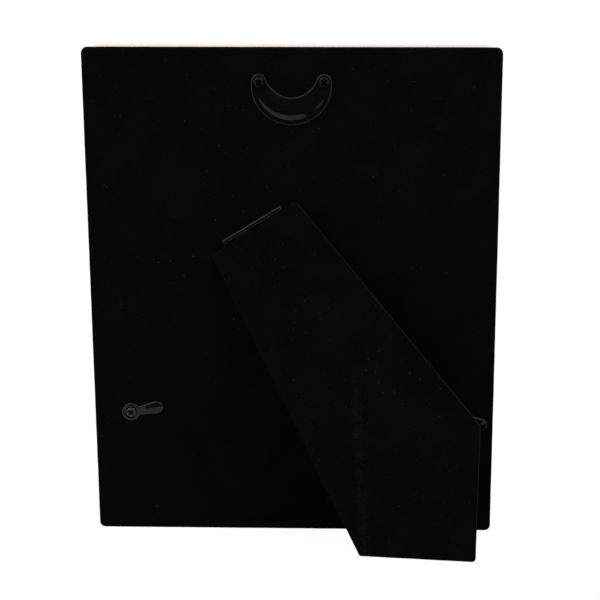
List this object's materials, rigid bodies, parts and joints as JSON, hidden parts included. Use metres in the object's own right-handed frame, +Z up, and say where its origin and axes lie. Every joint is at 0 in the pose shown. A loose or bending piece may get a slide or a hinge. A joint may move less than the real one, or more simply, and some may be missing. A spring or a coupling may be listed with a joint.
{
  "type": "picture frame",
  "caption": "Tabletop photo frame with velvet back, diagonal easel leg, crescent wall hanger and turn buttons that hold the loose back panel.",
  "frame": {"origin": "on the table, under the middle of the standing frame's box", "axes": "+Z up; the picture faces -Y and leans back; the easel leg stands out to +Y; +X is the left side seen from behind"},
  "size_m": [0.2032, 0.0902, 0.2485],
  "materials": {
    "cream_lacquer": "cream lacquer over wood, satin",
    "velvet": "short black velvet pile",
    "glass": "clear float glass",
    "white_paper": "plain white insert sheet",
    "filler_card": "corrugated card",
    "hardboard": "bare hardboard",
    "black_paper": "black lining paper",
    "steel": "zinc-plated steel",
    "hinge_steel": "blackened steel, bright along the barrel",
    "black_enamel": "semi-gloss black enamel on pressed steel",
    "black_screw": "black oxide screw"
  },
  "bodies": {
    "frame": {"top_rail": "cream_lacquer", "bottom_rail": "cream_lacquer", "left_rail": "cream_lacquer", "right_rail": "cream_lacquer", "corner_nail_top_left": "steel", "corner_nail_top_right": "steel", "corner_nail_bottom_left": "steel", "corner_nail_bottom_right": "steel", "frame_velvet": "velvet", "glass_pane": "glass", "paper_insert": "white_paper", "filler_pad": "filler_card", "back_panel_velvet": "velvet", "back_panel_board": "hardboard", "back_panel_lining": "black_paper", "hinge_panel_leaf": "hinge_steel", "hinge_pin": "hinge_steel", "panel_rivet_left": "steel", "panel_rivet_right": "steel", "crescent_hanger": "black_enamel", "hanger_screw_left": "black_screw", "hanger_screw_right": "black_screw", "turn_button_screw_left": "black_screw", "turn_button_screw_right": "black_screw"},
    "leg": {"leg_velvet": "velvet", "leg_board": "hardboard", "leg_lining": "black_paper", "hinge_leg_leaf": "hinge_steel", "leg_rivet_left": "steel", "leg_rivet_right": "steel"},
    "button_left": {"turn_button_left": "black_enamel"},
    "button_right": {"turn_button_right": "black_enamel"}
  },
  "joints": [
    {"name": "leg_swing", "type": "hinge", "parent": "frame", "child": "leg", "pos_m": [0.0199, 0.00954, 0.16049], "axis": [-0.8462, 0.1289, 0.517], "range_deg": [0, 20]},
    {"name": "button_left_turn", "type": "hinge", "parent": "frame", "child": "button_left", "pos_m": [0.0831, -0.0163, 0.06346], "axis": [0, 0.9703, -0.2419], "continuous": true},
    {"name": "button_right_turn", "type": "hinge", "parent": "frame", "child": "button_right", "pos_m": [-0.0831, -0.0163, 0.06346], "axis": [0, 0.9703, -0.2419], "continuous": true}
  ]
}
